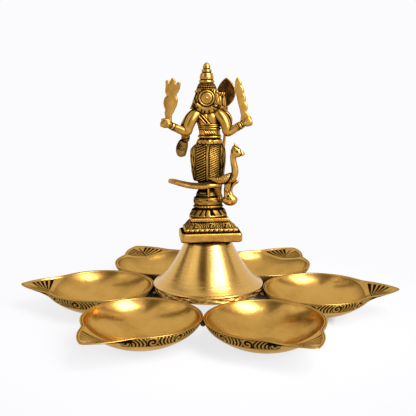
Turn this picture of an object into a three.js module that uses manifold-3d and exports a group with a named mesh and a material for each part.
// A six-wick oil lamp in cast brass. Six dishes with pinched wick lips stand in a ring and are brazed to
// each other and to the rim of a turned, hollow bell. On the bell stands a temple figure with four arms
// and a peacock, on an oval lotus seat and an oblong plinth, all drawn down by one bolt inside the bell.
// Millimetres and degrees, +Z up, heights from the surface that the lamp stands on, origin on the axis.
// One dish's lip points along +X. The figure faces +Y, so -Y is the side that shows its back.

import * as THREE from 'three';
import { mergeVertices } from 'three/addons/utils/BufferGeometryUtils.js';
import Module from 'manifold-3d';

const wasm = await Module();
wasm.setup();

const deg = Math.PI / 180;
const gap = 0.3;                       // left between pieces that are brazed, pinned or clamped together

// Dishes
const dishes = 6;
const rimRadius = 45;
const dishDepth = 22;
const footRadius = 10;                 // the ground flat that a dish stands on
const dishWall = 2.2;
const dishFloor = 2.4;
const lipReach = 66.7;                 // lip's tip from the dish's centre
const lipSpread = 28;                  // angle off the lip's middle where its sides would meet the rim
const lipSoftness = 0.18;              // how softly those sides run into the rim
const lipHalfAngle = 60;               // beyond this the rim is plainly round
const lipRoot = 9;                     // height below the rim over which the wall swells into the lip
const shelfDrop = 4;                   // how far the lip's inner shelf falls into the dish

// Bell
const bellStand = 3.6;                 // bell's edge above the dishes' rims
const bellBand = 6;                    // height of the plain band under that edge
const bellHeight = 35.9;               // from that edge up to the bell's top
const bellTopRadius = 18.8;
const bellWall = 3;
const bellTopPlate = 4;

// Bolt that draws the statue down on the bell
const boltRadius = 4;
const boltClearance = 0.5;
const boltHeadRadius = 7.2;
const boltHeadHeight = 5;
const boltGrip = 8;                    // length of thread inside the lotus seat
const washerRadius = 9;
const washerThickness = 1.6;

// Braze beads
const beadLength = 15;
const beadWidth = 5;
const beadHeight = 6;
const beadTop = 0.4;                   // bead's crest below the dishes' rims

// Plinth
const plinthTurn = 6;                  // the plinth stands a little askew under the figure
const slabWidth = 50;
const slabDepth = 28;
const slabHeight = 7.7;
const slabOffset = 1.6;                // the slab's middle lies this far to the right of the axis
const grooveHeight = 1;
const carvedFootWidth = 43.4;
const carvedFootDepth = 24.4;
const carvedTopWidth = 30;
const carvedTopDepth = 19;
const carvedHeight = 8.1;
const capWidth = 31;
const capDepth = 20;
const capOffset = 0.6;
const capHeight = 2.7;

// Lotus seat
const seatDepthShare = 0.66;           // the seat is oval: its depth as a share of its width
const petalRadius = 15.4;
const petalHeight = 6.8;
const bandRadius = 12;
const bandHeight = 9.4;                // the bead and the broad band above the petals
const tierRadius = 8.6;
const tierHeight = 5.8;
const tenonRadius = 3;                 // the figure's round tenon in the seat
const tenonLength = 4;

// Figure
const figureTurn = 2.7;                // the figure and the ring of dishes are a little out of line
const figureLean = -0.9;               // the figure stands this far off the lamp's axis
const ankleHeight = 6.6;
const skirtHeight = 30.3;
const skirtWidth = 27.4;
const skirtDepth = 17.2;
const hemWidth = 22;
const beltHeight = 3.6;
const waistWidth = 17.2;
const waistDepth = 11.2;
const torsoHeight = 23;                // from the belt's top to the shoulders
const chestWidth = 19.4;
const chestDepth = 12.4;
const neckHeight = 1.1;
const neckRadius = 3.6;
const headHeight = 15;                 // from the neck to the crown's foot
const faceRadius = 6.2;
const hairWidth = 25;                  // the locks that spread behind the ears
const collarWidth = 17;                // the roll of locks that lies on the nape
const collarDrop = 4.4;                // how far it hangs below the head's foot
const hairDepth = 10.4;
const crownHeight = 20.2;
const crownRadius = 7.7;
const discRadius = 6.35;
const discThickness = 2.4;

// Arms, and what the four hands hold
const upperArmRadius = 3.5;
const wristRadius = 2.9;
const rearArmBack = 6;                 // how far the rear pair's hands lie behind the figure's middle
const attributeThickness = 3;          // thunderbolt and flame blade are flat at the back
const spearRadius = 1.1;
const bladeWidth = 15.4;
const bladeLength = 23.2;
const bladeThickness = 2.6;

// Peacock and snake
const birdBack = 12;                   // how far the peacock stands behind the figure's middle
const birdLength = 20;                 // from the wing's rear point to the breast
const birdRise = 22.2;                 // from the body's middle up to the head's
const crestHeight = 7.6;
const beakLength = 6.4;
const tailReach = 31.6;
const tailWidth = 14.6;
const tailThickness = 3.4;
const strutRadius = 1.1;
const snakeWidth = 13.2;
const snakeHeight = 10;

// Heights that follow from the sizes above
const rimZ = dishDepth;
const ringRadius = 2 * rimRadius + gap;
const bellRadius = ringRadius - rimRadius - gap;
const bellEdgeZ = rimZ + bellStand;
const bellBottomZ = bellEdgeZ - bellBand;
const bellTopZ = bellEdgeZ + bellHeight;
const bellInnerZ = bellTopZ - bellTopPlate;
const plinthZ = bellTopZ + gap;
const slabTopZ = plinthZ + slabHeight;
const carvedZ = slabTopZ + grooveHeight;
const capZ = carvedZ + carvedHeight;
const plinthTopZ = capZ + capHeight;
const seatZ = plinthTopZ + gap;
const bandZ = seatZ + petalHeight;
const tierZ = bandZ + bandHeight;
const seatTopZ = tierZ + tierHeight;
const feetZ = seatTopZ + gap;
const hemZ = feetZ + ankleHeight;
const beltZ = hemZ + skirtHeight;
const waistZ = beltZ + beltHeight;
const shoulderZ = waistZ + torsoHeight;
const neckZ = shoulderZ + neckHeight;
const headZ = neckZ + gap;
const browZ = headZ + headHeight;
const crownZ = browZ + gap;

// Helpers

const point = (x, y, z) => new THREE.Vector3(x, y, z);
const smooth = (low, high, x) => THREE.MathUtils.smoothstep(x, low, high);

// A solid from any closed geometry.
function solid(geometry) {
  const bare = new THREE.BufferGeometry();
  bare.setAttribute('position', geometry.getAttribute('position'));
  bare.setIndex(geometry.index);
  const merged = mergeVertices(bare, 1e-4);
  return new wasm.Manifold(new wasm.Mesh({
    numProp: 3,
    vertProperties: new Float32Array(merged.attributes.position.array),
    triVerts: new Uint32Array(merged.index.array),
  }));
}

// A solid that is skinned over rings of points, from the first to the last. Every ring runs
// counter-clockwise seen from the last one's end. Both end rings are closed about their centres.
function skin(rings) {
  const count = rings[0].length;
  const points = rings.flat();
  const faces = [];
  for (let r = 0; r + 1 < rings.length; r++) {
    for (let i = 0; i < count; i++) {
      const a = r * count + i;
      const b = r * count + (i + 1) % count;
      faces.push(a, b, b + count, a, b + count, a + count);
    }
  }
  const caps = [{ start: 0, last: false }, { start: (rings.length - 1) * count, last: true }];
  for (const { start, last } of caps) {
    const centre = points.length;
    const ring = points.slice(start, start + count);
    points.push(ring.reduce((sum, p) => sum.add(p), point(0, 0, 0)).divideScalar(count));
    for (let i = 0; i < count; i++) {
      const a = start + i;
      const b = start + (i + 1) % count;
      faces.push(centre, ...(last ? [a, b] : [b, a]));
    }
  }
  const geometry = new THREE.BufferGeometry().setFromPoints(points);
  geometry.setIndex(faces);
  return solid(geometry);
}

const around = (sides, place) => Array.from({ length: sides }, (_, i) => place(i / sides * 2 * Math.PI));

// How far an end ring moves outwards when a shape is grown by a clearance.
const endLift = (row, last, grow) => (row === 0 ? -grow : row === last ? grow : 0);

// An upright solid over [height, width, depth, centre x, centre y] rows, each an ellipse.
function column(rows, sides, grow = 0) {
  const last = rows.length - 1;
  return skin(rows.map(([z, width, depth, cx, cy], row) => around(sides, (a) => point(
    cx + (width / 2 + grow) * Math.cos(a),
    cy + (depth / 2 + grow) * Math.sin(a),
    z + endLift(row, last, grow),
  ))));
}

// A round solid about +Z through [radius, height] rows.
const turned = (rows, sides, grow = 0) => column(rows.map(([r, z]) => [z, 2 * r, 2 * r, 0, 0]), sides, grow);

const rod = (radius, low, high, sides) => turned([[radius, low], [radius, high]], sides);

// A limb that follows [x, y, z, radius] rows, with its rings square to the path.
function limb(rows, sides = 8, grow = 0) {
  const path = rows.map(([x, y, z]) => point(x, y, z));
  const last = path.length - 1;
  return skin(path.map((here, i) => {
    const along = path[Math.min(i + 1, last)].clone().sub(path[Math.max(i - 1, 0)]).normalize();
    const across = point(0, 1, 0).addScaledVector(along, -along.y).normalize();
    const third = along.clone().cross(across);
    const centre = here.clone().addScaledVector(along, endLift(i, last, grow));
    return around(sides, (a) => centre.clone()
      .addScaledVector(across, (rows[i][3] + grow) * Math.cos(a))
      .addScaledVector(third, (rows[i][3] + grow) * Math.sin(a)));
  }));
}

// An ellipsoid about [x, y, z].
function blob([x, y, z], width, depth, height, sides = 10, grow = 0) {
  const ball = new THREE.SphereGeometry(1, sides, Math.round(sides * 0.6));
  ball.scale(width / 2 + grow, depth / 2 + grow, height / 2 + grow).translate(x, y, z);
  return solid(ball);
}

// A flat plate with the outline [x, z], centred on y.
function plate(outline, y, thickness) {
  const shape = new THREE.Shape(outline.map(([x, z]) => new THREE.Vector2(x, z)));
  const sheet = new THREE.ExtrudeGeometry(shape, { depth: thickness, bevelEnabled: false, steps: 1 });
  return solid(sheet.rotateX(90 * deg).translate(0, y + thickness / 2, 0));
}

const join = (...solids) => solids.reduce((whole, next) => whole.add(next));
const cut = (whole, ...tools) => tools.reduce((left, tool) => left.subtract(tool), whole);

// The largest body of a solid, without the slivers that a cut leaves.
const mainBody = (whole) => whole.decompose().reduce((a, b) => (b.volume() > a.volume() ? b : a));

const brass = (color, roughness) => new THREE.MeshStandardMaterial({ color, roughness, metalness: 1 });
const turnedBrass = brass(0xc9a055, 0.28);
const dishBrass = brass(0xbd9142, 0.3);
const castBrass = brass(0xa87b33, 0.42);
const brazeBrass = brass(0xa67a35, 0.55);
const boltBrass = brass(0x9a7434, 0.45);

function piece(name, body, material) {
  const { numProp, vertProperties, triVerts, numVert } = body.getMesh();
  const points = [];
  for (let i = 0; i < numVert; i++) {
    points.push(point(...vertProperties.subarray(i * numProp, i * numProp + 3)));
  }
  const geometry = new THREE.BufferGeometry().setFromPoints(points);
  geometry.setIndex(Array.from(triVerts));
  const mesh = new THREE.Mesh(geometry, material);
  mesh.name = name;
  return mesh;
}

// Dishes

// The dish's round section: its radius as a share of the rim's, at a share of its full depth.
const bowlShare = (depthShare) => (1 - depthShare ** 1.6) ** 0.55;
const footShare = (1 - (footRadius / rimRadius) ** (1 / 0.55)) ** (1 / 1.6);
const roundDepth = dishDepth / footShare;      // depth of the round form before its foot is ground flat

// The lip's outline as a share of its reach: it narrows evenly from its point to the lip's spread, and
// there a hyperbola leads it softly into the round rim.
const lipSlope = (angle) => 1 - Math.abs(angle) / lipSpread;
const lipLine = (angle) => (lipSlope(angle) + Math.hypot(lipSlope(angle), lipSoftness)) / 2;
const lipShare = (angle) => Math.max(0, lipLine(angle) - lipLine(lipHalfAngle));
const lipAngles = [0, 0.09, 0.19, 0.31, 0.4, 0.5, 0.68, 1].map((share) => share * lipHalfAngle);
const rimSteps = 15;
const rimAngles = Array.from({ length: rimSteps }, (_, i) => (
  lipHalfAngle + (360 - 2 * lipHalfAngle) * (i + 1) / (rimSteps + 1)));
const dishAngles = [...lipAngles.slice(1).reverse().map((a) => -a), ...lipAngles, ...rimAngles];

function dishRing(radius, lip, z) {
  return dishAngles.map((angle) => {
    const fromLip = angle > 180 ? 360 - angle : angle;
    const r = radius + lip * (lipReach - rimRadius) * lipShare(fromLip);
    return point(r * Math.cos(angle * deg), r * Math.sin(angle * deg), z);
  });
}

function dishOuter(grow = 0) {
  const shares = [0, 0.12, 0.32, 0.55, 0.75, 0.89, 1];
  return shares.map((share, row) => {
    const z = share * dishDepth;
    const swell = smooth(rimZ - lipRoot, rimZ, z) ** 2;
    const radius = rimRadius * bowlShare((rimZ - z) / roundDepth) + grow;
    return dishRing(radius, swell, z + endLift(row, shares.length - 1, grow));
  });
}

function dishSolid() {
  const depths = [0, shelfDrop * 0.55, shelfDrop, 8, 13, 17, dishDepth - dishFloor];
  const inner = depths.map((depth) => {
    const shelf = 1 - 0.94 * smooth(0, shelfDrop, depth);
    const radius = (rimRadius - dishWall) * bowlShare(depth / (roundDepth - dishWall));
    return dishRing(radius, shelf, rimZ - depth);
  });
  return skin([...dishOuter(), ...inner]);
}

const onRing = (body) => body.translate([ringRadius, 0, 0]);
const dishBlock = () => onRing(skin(dishOuter(gap)));

// Bell

const boltBore = (low, high) => rod(boltRadius + boltClearance, low, high, 20);

// The bell's outer line from its edge up to its top, as radius against height.
function bellLine(steps) {
  const curve = new THREE.CubicBezierCurve(
    new THREE.Vector2(bellRadius - 0.8, bellEdgeZ + 0.6),
    new THREE.Vector2(bellRadius * 0.735, bellEdgeZ + 0.21 * bellHeight),
    new THREE.Vector2(1.36 * bellTopRadius, bellTopZ - 0.4 * bellHeight),
    new THREE.Vector2(bellTopRadius, bellTopZ),
  );
  return curve.getPoints(steps).map((p) => [p.x, p.y]);
}

function bellBlock(grow = 0) {
  return turned([
    [bellRadius - 1, bellBottomZ], [bellRadius, bellBottomZ + 1.2], [bellRadius, bellEdgeZ - 0.4],
    ...bellLine(7),
  ], 36, grow);
}

function bellSolid() {
  const foot = bellRadius - 1 - bellWall;
  const slope = bellLine(5).slice(1, -1).map(([r, z]) => [r - bellWall, z - 1]);
  const hollow = turned([
    [foot, bellBottomZ - 1], [foot, bellEdgeZ - bellWall], ...slope, [bellTopRadius - bellWall, bellInnerZ],
  ], 36);
  return cut(bellBlock(), hollow, boltBore(bellInnerZ - 1, bellTopZ + 1));
}

// Braze beads

// The bead lies below the rims, where the two curved walls leave a groove.
const beadZ = rimZ - beadTop - beadHeight / 2;

function hubBead() {
  const flow = blob([bellRadius + gap / 2, 0, beadZ], beadWidth, beadLength, beadHeight, 10);
  return mainBody(cut(flow, bellBlock(gap), dishBlock()));
}

function rimBead() {
  const halfStep = 180 / dishes;
  const flow = blob([ringRadius * Math.cos(halfStep * deg), 0, beadZ], beadLength, beadWidth, beadHeight, 10);
  const dish = dishBlock();
  return mainBody(cut(flow, dish.rotate([0, 0, halfStep]), dish.rotate([0, 0, -halfStep])));
}

// Bolt and washer

function boltSolid() {
  const headTop = bellInnerZ - washerThickness - 2 * gap;
  const head = rod(boltHeadRadius, headTop - boltHeadHeight, headTop, 6);
  return join(head, rod(boltRadius, headTop - 1, seatZ + boltGrip, 20));
}

function washerSolid() {
  const top = bellInnerZ - gap;
  return cut(rod(washerRadius, top - washerThickness, top, 24), boltBore(top - washerThickness - 1, top + 1));
}

// Plinth

// A ring of the plinth with its corners taken off, counter-clockwise, with its middle at x.
function plinthRing(width, depth, corner, z, x) {
  const ends = [[1, 1], [-1, 1], [-1, -1], [1, -1]];
  return ends.flatMap(([right, back]) => {
    const beside = point(x + right * width / 2, back * (depth / 2 - corner), z);
    const beyond = point(x + right * (width / 2 - corner), back * depth / 2, z);
    return right * back > 0 ? [beside, beyond] : [beyond, beside];
  });
}

function plinthSolid() {
  const edge = 1.2;
  const slab = (inset, z) => plinthRing(slabWidth - 2 * inset, slabDepth - 2 * inset, 1.5, z, slabOffset);
  const cap = (inset, z) => plinthRing(capWidth - 2 * inset, capDepth - 2 * inset, 0.9, z, capOffset);
  const slope = (share, z) => plinthRing(
    carvedFootWidth + (carvedTopWidth - carvedFootWidth) * share,
    carvedFootDepth + (carvedTopDepth - carvedFootDepth) * share,
    1, z, slabOffset + (capOffset - slabOffset) * share,
  );
  const body = skin([
    slab(edge, plinthZ), slab(0, plinthZ + edge), slab(0, slabTopZ - edge), slab(edge, slabTopZ),
    slope(0.08, slabTopZ + 0.2), slope(0, carvedZ), slope(0.3, carvedZ + carvedHeight * 0.36),
    slope(0.8, carvedZ + carvedHeight * 0.7), slope(1, capZ - 0.4),
    cap(0, capZ), cap(0, plinthTopZ - 0.6), cap(0.7, plinthTopZ),
  ]);
  return cut(body, boltBore(plinthZ - 1, plinthTopZ + 1));
}

// Lotus seat

// Flared petals, a bead, a broad band and a narrow upper tier.
const seatRows = [
  [petalRadius - 0.6, seatZ], [petalRadius, seatZ + 0.8], [petalRadius - 1.2, seatZ + 2.2],
  [bandRadius + 0.4, bandZ - 0.4], [bandRadius - 0.7, bandZ], [bandRadius - 0.7, bandZ + 0.5],
  [bandRadius, bandZ + 1], [bandRadius, bandZ + 2.6], [bandRadius - 0.9, bandZ + 3.3],
  [bandRadius - 0.2, bandZ + 4], [bandRadius, tierZ - 2.4], [bandRadius - 0.5, tierZ - 0.6],
  [bandRadius - 1.1, tierZ], [tierRadius - 1, tierZ + 0.2], [tierRadius - 0.6, tierZ + tierHeight * 0.4],
  [tierRadius, tierZ + tierHeight * 0.55], [tierRadius, seatTopZ],
];

const seatOval = seatRows.map(([r, z]) => [z, 2 * r, 2 * r * seatDepthShare, 0, 0]);
const seatBlock = (grow = 0) => column(seatOval, 28, grow).rotate([0, 0, plinthTurn]);

function seatSolid() {
  const thread = rod(boltRadius + gap, seatZ - 1, seatZ + boltGrip + gap, 20);
  const mortise = rod(tenonRadius + gap, seatTopZ - tenonLength - gap, seatTopZ + 1, 16);
  return cut(seatBlock(), thread, mortise);
}

// Figure's body

// Wrapped skirt, belt, waist, chest and neck.
const bodyRows = [
  [hemZ, hemWidth, skirtDepth * 0.76, figureLean, 0],
  [hemZ + skirtHeight * 0.2, hemWidth + 2.4, skirtDepth * 0.84, figureLean, 0],
  [hemZ + skirtHeight * 0.5, skirtWidth - 1, skirtDepth * 0.95, figureLean, 0],
  [hemZ + skirtHeight * 0.74, skirtWidth, skirtDepth, figureLean, 0],
  [hemZ + skirtHeight * 0.9, skirtWidth - 2.4, skirtDepth - 1, figureLean + 0.5, 0],
  [beltZ, waistWidth + 3.4, waistDepth + 2.8, figureLean + 1.6, 0],
  [beltZ + 0.3, waistWidth + 2.4, waistDepth + 2, figureLean + 1.8, 0],
  [waistZ, waistWidth + 2, waistDepth + 1.8, figureLean + 2.2, 0],
  [waistZ + 0.6, waistWidth, waistDepth, figureLean + 2.2, 0],
  [waistZ + torsoHeight * 0.3, waistWidth - 0.2, waistDepth, figureLean + 1.8, 0],
  [waistZ + torsoHeight * 0.6, chestWidth - 1, chestDepth - 0.4, figureLean + 0.6, 0],
  [shoulderZ - 4.4, chestWidth, chestDepth, figureLean, 0],
  [shoulderZ - 1.6, chestWidth - 1.6, chestDepth - 2, figureLean - 0.2, 0],
  [shoulderZ, chestWidth - 6, chestDepth - 4.4, figureLean - 0.4, 0],
  [shoulderZ + neckHeight * 0.4, 2 * neckRadius + 0.8, 2 * neckRadius + 0.8, figureLean - 0.4, 0],
  [neckZ, 2 * neckRadius, 2 * neckRadius, figureLean - 0.4, 0],
];

const trunk = (grow = 0) => column(bodyRows, 20, grow);
const footSpread = 3.4;

function footShape(x) {
  const rows = [[feetZ, 4.4, 8], [feetZ + 1.6, 4, 7.4], [feetZ + 3, 2.6, 4.6]];
  const foot = column(rows.map(([z, width, depth]) => [z, width, depth, x, 1.3]), 12);
  return join(foot, limb([[x, -1, feetZ, 2.3], [x, -1, hemZ + 2, 2.9]]));
}

function bodySolid() {
  const feet = [-1, 1].map((side) => footShape(figureLean + side * footSpread));
  return join(trunk(), ...feet, rod(tenonRadius, feetZ - tenonLength, feetZ + 1.4, 16));
}

// Head and crown

const headX = figureLean - 0.4;
const headMidZ = headZ + headHeight * 0.54;

function headBlock(grow = 0) {
  const hair = column([
    [headZ + 0.6, hairWidth, hairDepth * 0.6, headX, -1.6],
    [headZ + headHeight * 0.2, hairWidth - 1.6, hairDepth * 0.78, headX, -1.8],
    [headZ + headHeight * 0.6, hairWidth * 0.78, hairDepth * 0.94, headX, -2],
    [browZ - 2.4, 2 * crownRadius + 2.6, hairDepth + 1, headX, -1],
    [browZ, 2 * crownRadius, 2 * crownRadius - 1, headX, 0],
  ], 16, grow);
  const face = blob([headX, 1.6, headMidZ], 2 * faceRadius, 2 * faceRadius, headHeight + 0.6, 14, grow);
  const neck = limb([[headX, 0, headZ, neckRadius], [headX, 0, headMidZ, neckRadius]], 12, grow);
  const collar = blob([headX, -hairDepth / 2, headZ], collarWidth, 4.4, 2 * collarDrop, 12, grow);
  return join(hair, face, neck, collar);
}

function headSolid() {
  const clear = 40;
  const crownSpace = new THREE.BoxGeometry(clear, clear, clear).translate(0, 0, browZ + clear / 2);
  return mainBody(cut(headBlock(), solid(crownSpace), trunk(gap)));
}

// The crown tapers in rings to a bud.
function crownSolid() {
  const rows = [
    [0, 1], [0.15, 0.9], [0.2, 0.86], [0.23, 0.78], [0.3, 0.76], [0.34, 0.69], [0.42, 0.68], [0.62, 0.56],
    [0.68, 0.5], [0.74, 0.46], [0.81, 0.38], [0.94, 0.24], [1, 0.06],
  ];
  return turned(rows.map(([h, r]) => [crownRadius * r, crownZ + crownHeight * h]), 16).translate([headX, 0, 0]);
}

// A round boss with rings, cast against the back of the head.
function discSolid() {
  const back = hairDepth / 2 + 2.2;
  const disc = rod(discRadius, back - 4, back + discThickness, 24).rotate([90, 0, 0]);
  return mainBody(cut(disc.translate([headX, 0, headMidZ]), headBlock(gap)));
}

// Arms and what they hold

// Each arm's points are [outwards, forwards, upwards] from its shoulder.
const shoulderOut = chestWidth / 2 - 1.6;
const shoulderUp = shoulderZ - 3.4;
const armPlace = (side, [x, y, z]) => [figureLean + side * (shoulderOut + x), y, shoulderUp + z];

const rearLeft = {
  side: -1, bend: [3.2, -4.8, -4.6], elbow: [7.4, -rearArmBack, -14.4], wrist: [21.4, -rearArmBack, -8.3],
  hand: [25, -rearArmBack, -6.4], handWidth: 8, handHeight: 7.6,
};
const rearRight = {
  side: 1, bend: [3.3, -4.8, -4.8], elbow: [7.6, -rearArmBack, -14.6], wrist: [20.5, -rearArmBack, -7],
  hand: [23.8, -rearArmBack, -5.2], handWidth: 8, handHeight: 7.6,
};
const frontLeft = {
  side: -1, bend: [5.1, 2.6, -1.5], elbow: [10.5, 3.4, -10.7], wrist: [9.5, 5, -18.7],
  hand: [12.8, 6.6, -27.6], handWidth: 9.2, handHeight: 15,
};
const frontRight = {
  side: 1, bend: [6.1, 2.6, -0.6], elbow: [8.7, 3, -8.4], wrist: [4.4, 6.2, 3.4],
  hand: [1.4, 7.8, 11.2], handWidth: 6.4, handHeight: 12,
};

function armBlock({ side, bend, elbow, wrist, hand, handWidth, handHeight }, grow = 0) {
  const at = (place) => armPlace(side, place);
  const root = [-1.5, bend[1] * 0.4, 0.6];
  const joint = 2 * upperArmRadius + 0.3;
  return join(
    limb([root, bend, elbow].map((place) => [...at(place), upperArmRadius]), 8, grow),
    blob(at(elbow), joint, joint, joint, 10, grow),
    limb([[...at(elbow), upperArmRadius + 0.1], [...at(wrist), wristRadius], [...at(hand), wristRadius]],
      8, grow),
    blob(at(hand), handWidth, 2 * wristRadius + 0.4, handHeight, 10, grow),
  );
}

const rearArmSolid = (arm) => mainBody(cut(armBlock(arm), trunk(gap), headBlock(gap)));
const frontArmSolid = (arm, rear) => mainBody(cut(armBlock(arm), trunk(gap), armBlock(rear, gap), headBlock(gap)));

// A three-pronged club, flat at the back: [outwards from the hand's middle, up from it].
const thunderboltOutline = [
  [0, 2], [-0.3, 5.5], [0.6, 8.2], [-0.4, 10.3], [1.2, 13.6], [1.2, 15.4], [0.2, 19], [-1.3, 21.5],
  [-0.1, 23.9], [-0.8, 30.5], [-1, 33], [-2.2, 33.2], [-4, 32.1], [-4.9, 33.6], [-6.2, 34.7], [-7.5, 33.8],
  [-8.9, 30.3], [-10.9, 31.8], [-12.4, 31.4], [-11.5, 26.5], [-9.2, 21.2], [-10.4, 18.4], [-9.2, 13.2],
  [-7.3, 9.6], [-5.8, 7.3], [-5.3, 3.7], [-5.7, 1.5],
];

// A curved flame blade with a wavy outer edge.
const flameOutline = [
  [2.5, 1.6], [2.2, 3], [1.1, 4.8], [-1, 6.6], [0.1, 10.2], [-0.4, 12.4], [-1.7, 14.7], [-1.4, 16.4],
  [-1.8, 19.1], [-3.4, 21.6], [-2.9, 23.1], [-3.6, 25.3], [-5, 27.6], [-4.8, 29.3], [-5.5, 31.1],
  [-6.8, 33.1], [-8.3, 34.1], [-9.5, 32.9], [-10.2, 30.7], [-10.1, 28], [-9.2, 21.3], [-8.3, 17.3],
  [-6.9, 11.5], [-5.7, 6.1], [-5.7, 1.2],
];

function attributeSolid(arm, outline) {
  const [x, y, z] = armPlace(arm.side, arm.hand);
  const line = outline.map(([out, up]) => [x + arm.side * out, z + up]);
  const flat = plate(arm.side < 0 ? line.reverse() : line, y, attributeThickness);
  return mainBody(cut(flat, armBlock(arm, gap)));
}

// The spear stands on the seat's band beside the upper tier, leans outwards past the raised right hand and
// ends in a leaf blade that lies against that hand's palm.
const spearLean = 5.4;                 // how far the blade's foot stands outside the spear's foot
const spearForward = 8.4;
const spearFoot = point((tierRadius + bandRadius) / 2 - 0.6, bandRadius * 0.33, tierZ + gap);
const spearTop = point(spearFoot.x + spearLean, spearFoot.y + spearForward, shoulderZ + 3);
const bladeZ = spearTop.z - 1.6;
const bladeX = spearTop.x - 0.5;

function spearShaft(grow = 0) {
  const radius = spearRadius + grow;
  return limb([[...spearFoot, radius], [...spearTop, radius]], 10);
}

function spearSolid() {
  const half = [[0, 0.05], [0.15, 0.27], [0.29, 0.44], [0.46, 0.5], [0.64, 0.44], [0.8, 0.33],
    [0.94, 0.16], [1, 0.03]];
  const right = half.map(([up, out]) => [bladeX + out * bladeWidth, bladeZ + up * bladeLength]);
  const left = half.map(([up, out]) => [bladeX - out * bladeWidth, bladeZ + up * bladeLength]).reverse();
  return join(spearShaft(), plate([...right, ...left], spearTop.y, bladeThickness));
}

function spearArmSolid() {
  const room = new THREE.BoxGeometry(bladeWidth + 2, bladeThickness + 2 * gap, bladeLength);
  room.translate(bladeX, spearTop.y, bladeZ - gap + bladeLength / 2);
  return mainBody(cut(frontArmSolid(frontRight, rearRight), spearShaft(gap), solid(room)));
}

// Peacock and snake

const birdX = 10.4;
const birdZ = feetZ + 8.4;
const breastX = birdX + birdLength * 0.49;

// The body with its folded wing sweeps up to the breast: [share of the length from the middle, up, radius].
const birdBody = [
  [-0.52, 3.4, 0.9], [-0.37, 1.2, 2.4], [-0.17, 0.3, 3.2], [0.03, 0.7, 3.9], [0.2, 2.5, 4.4], [0.35, 4.3, 4.2],
  [0.45, 5.2, 3.4],
];

// Breast and neck: [inwards from the breast's front, share of the rise, radius].
const birdNeck = [
  [2.7, 0.01, 3.2], [0.1, 0.1, 3.3], [-0.9, 0.3, 3.1], [-0.4, 0.55, 2.6], [0.7, 0.75, 2.3], [0.2, 0.98, 2.6],
];

function birdBlock(grow = 0) {
  const y = -birdBack;
  const headX = breastX + 2;
  const z = birdZ + birdRise;
  return join(
    limb(birdBody.map(([share, up, r]) => [birdX + birdLength * share, y, birdZ + up, r]), 10, grow),
    limb(birdNeck.map(([back, share, r]) => [breastX - back, y, birdZ + birdRise * share, r]), 8, grow),
    blob([headX, y, z], 7.4, 5, 5.8, 10, grow),
    limb([[headX - 2, y, z - 1, 2.5], [headX - 1.8, y, z + 2.6, 2.5], [headX - 1.7, y, z + crestHeight, 0.5]],
      8, grow),
    limb([[headX - 0.4, y, z + 1.4, 2.4], [headX + beakLength, y, z - 2, 0.6]], 8, grow),
    limb([[birdX + 5, y + 1, birdZ, 3], [birdX + 4.8, y + 2, birdZ - 7, 2.4], [birdX + 4.8, y + 3, birdZ - 9, 2.4]],
      8, grow),
  );
}

const birdSolid = () => mainBody(cut(birdBlock(), trunk(gap), seatBlock(gap)));

const tailY = -birdBack + 0.9;

// The tail lies flat behind the figure: [x, height, share of the width, share of the thickness] rows.
function tailBlock(grow = 0) {
  const rows = [
    [-tailReach, 2.5, 0.5, 0.6], [-tailReach * 0.93, 2.3, 0.86, 0.9], [-tailReach * 0.7, 0.4, 1, 1],
    [-tailReach * 0.44, -0.6, 1, 1], [-tailReach * 0.16, -0.7, 1, 1], [1, 0.5, 0.8, 1.2],
    [birdX - 2, 0.8, 0.5, 0.9],
  ];
  const last = rows.length - 1;
  return skin(rows.map(([x, up, width, thick], row) => around(14, (a) => point(
    x + endLift(row, last, grow),
    tailY + (tailWidth * width / 2 + grow) * Math.cos(a),
    birdZ - 3.6 + up + (tailThickness * thick / 2 + grow) * Math.sin(a),
  ))));
}

const tailSolid = () => mainBody(cut(tailBlock(), birdBlock(gap), trunk(gap)));

// A short strut under the tail, on the seat's band.
function strutSolid() {
  const ledge = (tierRadius + bandRadius) / 2 * seatDepthShare;
  const strut = rod(strutRadius, tierZ + gap, birdZ, 10).translate([0.2, -ledge, 0]);
  return mainBody(cut(strut, tailBlock(gap), trunk(gap)));
}

// The peacock's leg comes down beside the tier to the band.
function legBlock(grow = 0) {
  return limb([
    [birdX - 3, -birdBack + 1.4, birdZ - 4, 1.7], [bandRadius - 1.6, -birdBack + 5.6, tierZ + 0.4, 1.4],
    [bandRadius - 1.4, -birdBack + 6.6, tierZ - 3, 1.6],
  ], 8, grow);
}

const legSolid = () => mainBody(cut(legBlock(), birdBlock(gap), tailBlock(gap), seatBlock(gap), trunk(gap)));

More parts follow.
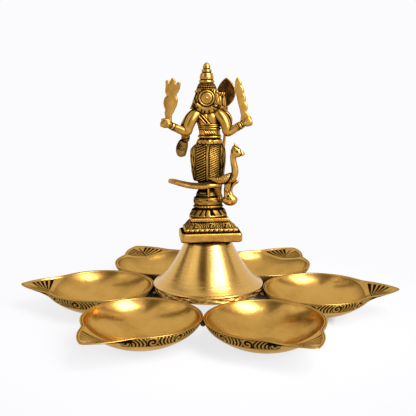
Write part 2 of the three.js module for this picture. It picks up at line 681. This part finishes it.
// A snake hangs from the peacock's claws against the band, its tail curled up beside the bird's breast.
function snakeSolid() {
  const x = bandRadius + snakeWidth / 2 - 1.4;
  const y = -birdBack + 5.4;
  const z = tierZ - 1.6;
  const curl = [[1.4, 2, 2.2], [1.7, 8.2, 1.3], [2.6, 11.6, 1.3], [4.4, 14.2, 1.3], [6.4, 15.2, 1]];
  const body = join(
    blob([x, y, z], snakeWidth, 8.2, snakeHeight, 12),
    limb([[x - 1.6, y - 0.6, z + 2, 3.4], [x - 1.6, y - 1.6, z + 7, 2.5]]),
    limb(curl.map(([out, up, r]) => [x + out, y - 0.8, z + up, r]), 8),
  );
  return mainBody(cut(body, birdBlock(gap), tailBlock(gap), seatBlock(gap), legBlock(gap), trunk(gap)));
}

// Assembly

const lamp = new THREE.Group();
lamp.add(piece('hub_bell', bellSolid(), turnedBrass));

const step = 360 / dishes;
const dish = onRing(dishSolid());
const beadAtBell = hubBead();
const beadAtRims = rimBead();
for (let i = 0; i < dishes; i++) {
  const place = new THREE.Group();
  place.rotateZ(i * step * deg);
  place.add(piece(`dish_${i + 1}`, dish, dishBrass), piece(`hub_braze_${i + 1}`, beadAtBell, brazeBrass));
  const between = piece(`rim_braze_${i + 1}`, beadAtRims, brazeBrass);
  between.rotateZ(step / 2 * deg);
  place.add(between);
  lamp.add(place);
}

const statue = new THREE.Group();
statue.rotateZ(figureTurn * deg);
lamp.add(statue);

const plinth = piece('plinth', plinthSolid(), castBrass);
plinth.rotateZ(plinthTurn * deg);
statue.add(
  plinth,
  piece('fixing_bolt', boltSolid(), boltBrass),
  piece('bolt_washer', washerSolid(), boltBrass),
  piece('lotus_seat', seatSolid(), castBrass),
  piece('figure_body', bodySolid(), castBrass),
  piece('head', headSolid(), castBrass),
  piece('head_disc', discSolid(), castBrass),
  piece('crown', crownSolid(), castBrass),
  piece('rear_arm_left', rearArmSolid(rearLeft), castBrass),
  piece('rear_arm_right', rearArmSolid(rearRight), castBrass),
  piece('front_arm_left', frontArmSolid(frontLeft, rearLeft), castBrass),
  piece('front_arm_right', spearArmSolid(), castBrass),
  piece('thunderbolt', attributeSolid(rearLeft, thunderboltOutline), castBrass),
  piece('flame_blade', attributeSolid(rearRight, flameOutline), castBrass),
  piece('spear', spearSolid(), castBrass),
  piece('peacock', birdSolid(), castBrass),
  piece('peacock_tail', tailSolid(), castBrass),
  piece('tail_strut', strutSolid(), castBrass),
  piece('peacock_leg', legSolid(), castBrass),
  piece('snake', snakeSolid(), castBrass),
);

export default lamp;
